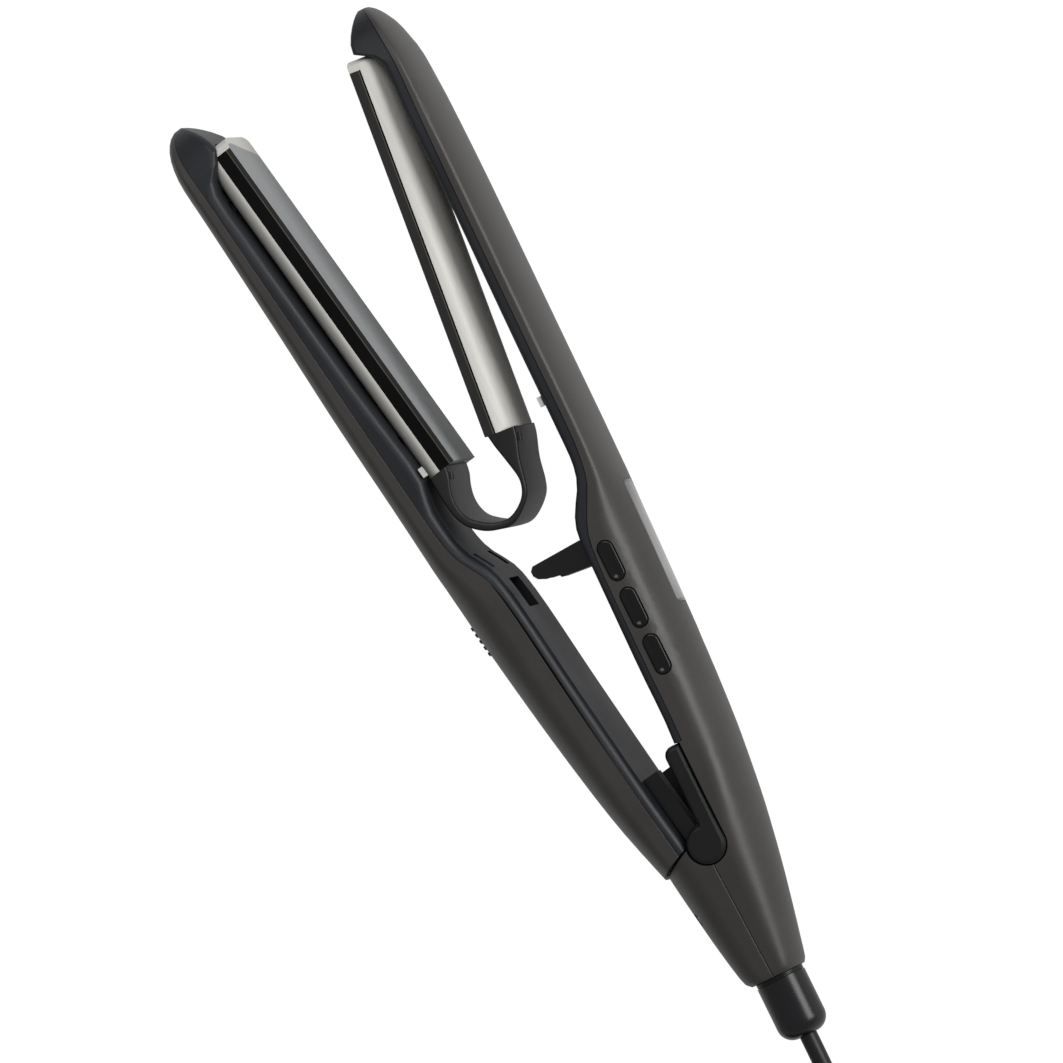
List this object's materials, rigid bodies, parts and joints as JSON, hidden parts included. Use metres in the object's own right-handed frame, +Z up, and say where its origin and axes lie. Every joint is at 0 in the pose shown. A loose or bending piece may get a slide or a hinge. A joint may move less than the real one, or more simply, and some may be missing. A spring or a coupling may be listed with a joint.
{
  "type": "hair straightener",
  "caption": "Hair straightener lying open on its side: two hinged arms, a clip-in plate cartridge with a flexible loop, side buttons and a swivelling mains cord.",
  "frame": {"origin": "on the hinge axis, where the hinge ear rests on the table", "axes": "+Y along the main arm to the tip, +Z up along the hinge pin, +X the main arm's outward side"},
  "size_m": [0.1317, 0.4363, 0.0345],
  "materials": {
    "shell": "soft satin",
    "inner_cover": "fine matt",
    "lens": "gloss",
    "bracket": "satin",
    "steel": "plain",
    "latch": "satin",
    "button": "gloss",
    "board": "plain",
    "module": "plain",
    "heater": "plain",
    "spreader": "plain",
    "plate": "satin ceramic coating",
    "trim": "bright edge",
    "strip": "gloss",
    "barrel": "satin",
    "cap": "satin",
    "loop": "satin",
    "ring": "polished",
    "sleeve": "half gloss",
    "contact": "plain",
    "cord": "matt"
  },
  "bodies": {
    "main_arm": {"main_outer_shell": "shell", "main_inner_cover": "inner_cover", "tail_cover": "shell", "display_lens": "lens", "hinge_bracket": "bracket", "hinge_pin": "steel", "hinge_torsion_spring": "steel", "latch_prong": "latch", "main_clip_catches": "cap", "display_module": "module", "control_board": "board", "button_board": "board", "tact_switches": "module", "main_heater": "heater", "main_heat_spreader": "spreader", "thermal_fuse": "heater", "supply_leads": "cord", "main_cover_screws": "steel", "tail_screws": "steel", "swivel_ring": "ring", "swivel_bushing": "sleeve", "slip_ring_block": "sleeve", "slip_rings": "contact", "cord_run": "cord", "cord_coil": "cord", "cord_tail": "cord", "plug_relief": "cord", "plug_body": "cord", "plug_pins": "contact"},
    "lever_arm": {"lever_outer_shell": "shell", "lever_inner_cover": "inner_cover", "lever_cover_screws": "steel", "hinge_knuckle": "bracket", "lever_clip_catches": "cap", "lever_heater": "heater", "lever_heat_spreader": "spreader", "lower_plate": "plate", "lower_plate_trim": "trim", "lower_side_strip": "strip", "lower_barrel": "barrel", "lower_tip_cap": "cap", "lower_heat_core": "spreader", "lower_yoke": "loop", "flex_loop": "loop"},
    "upper_plate_set": {"upper_plate": "plate", "upper_plate_trim": "trim", "upper_side_strip": "strip", "upper_barrel": "barrel", "upper_tip_cap": "cap", "upper_heat_core": "spreader", "upper_yoke": "loop"},
    "lock": {"lock_slider": "latch"},
    "power_key": {"power_button": "button"},
    "minus_key": {"minus_button": "button"},
    "plus_key": {"plus_button": "button"},
    "cord_swivel": {"cord_sleeve": "sleeve"}
  },
  "joints": [
    {"name": "arm_hinge", "type": "hinge", "parent": "main_arm", "child": "lever_arm", "pos_m": [0, 0, 0.017], "axis": [0, 0, 1], "range_deg": [-9.7, 0], "stiffness_Nm_per_rad": 0.6, "springref_deg": 20.05, "deforming": ["hinge_torsion_spring", "flex_loop"]},
    {"name": "plate_flex", "type": "hinge", "parent": "lever_arm", "child": "upper_plate_set", "pos_m": [-0.00542, 0.09273, 0.017], "axis": [0, 0, 1], "range_deg": [0, 15.5], "deforming": ["flex_loop"]},
    {"name": "lock_slide", "type": "slide", "parent": "lever_arm", "child": "lock", "axis": [-0.1685, 0.9857, 0], "range_m": [0, 0.004]},
    {"name": "power_press", "type": "slide", "parent": "main_arm", "child": "power_key", "axis": [0, 0, -1], "range_m": [0, 0.0006], "stiffness_N_per_m": 900},
    {"name": "minus_press", "type": "slide", "parent": "main_arm", "child": "minus_key", "axis": [0, 0, -1], "range_m": [0, 0.0006], "stiffness_N_per_m": 900},
    {"name": "plus_press", "type": "slide", "parent": "main_arm", "child": "plus_key", "axis": [0, 0, -1], "range_m": [0, 0.0006], "stiffness_N_per_m": 900},
    {"name": "sleeve_turn", "type": "hinge", "parent": "main_arm", "child": "cord_swivel", "pos_m": [-0.0014, -0.05, 0.017], "axis": [0, 1, 0], "continuous": true}
  ],
  "couplings": [
    {"joint": "plate_flex", "follows": "arm_hinge", "ratio": -1.5979}
  ]
}
